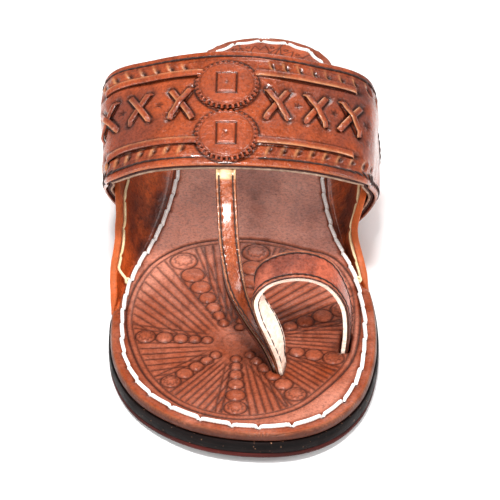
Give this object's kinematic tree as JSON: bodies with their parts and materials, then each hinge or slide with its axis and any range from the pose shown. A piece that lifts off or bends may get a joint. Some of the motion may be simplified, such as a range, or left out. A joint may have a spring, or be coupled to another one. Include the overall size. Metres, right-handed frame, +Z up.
{
  "type": "kolhapuri sandal",
  "caption": "Right-foot flat leather toe-ring sandal with an arched instep band, centre strap, upturned side ears and a stacked leather sole.",
  "frame": {"origin": "centre of the shoe's box, on the floor plane that the sole stands on", "axes": "+Z up, toe towards -Y, heel towards +Y, big-toe (medial) side towards +X"},
  "size_m": [0.1108, 0.2702, 0.084],
  "materials": {
    "heel_leather": "burnished brown stacked leather",
    "outsole_leather": "matt reddish-brown sole leather",
    "midsole_leather": "near-black edge-dyed leather",
    "footbed_leather": "tooled rosy-brown satin leather",
    "ear_leather": "waxed brown leather",
    "band_leather": "glossy chestnut leather",
    "lining_leather": "undyed cream leather",
    "white_thread": "waxed white cord",
    "cream_thread": "waxed cream thread"
  },
  "bodies": {
    "root": {"heel_lift": "heel_leather", "outsole": "outsole_leather", "midsole": "midsole_leather", "footbed": "footbed_leather", "ear_lateral": "ear_leather", "ear_medial": "ear_leather", "upper": "band_leather", "rosette_rear": "band_leather", "rosette_front": "band_leather"}
  },
  "joints": []
}
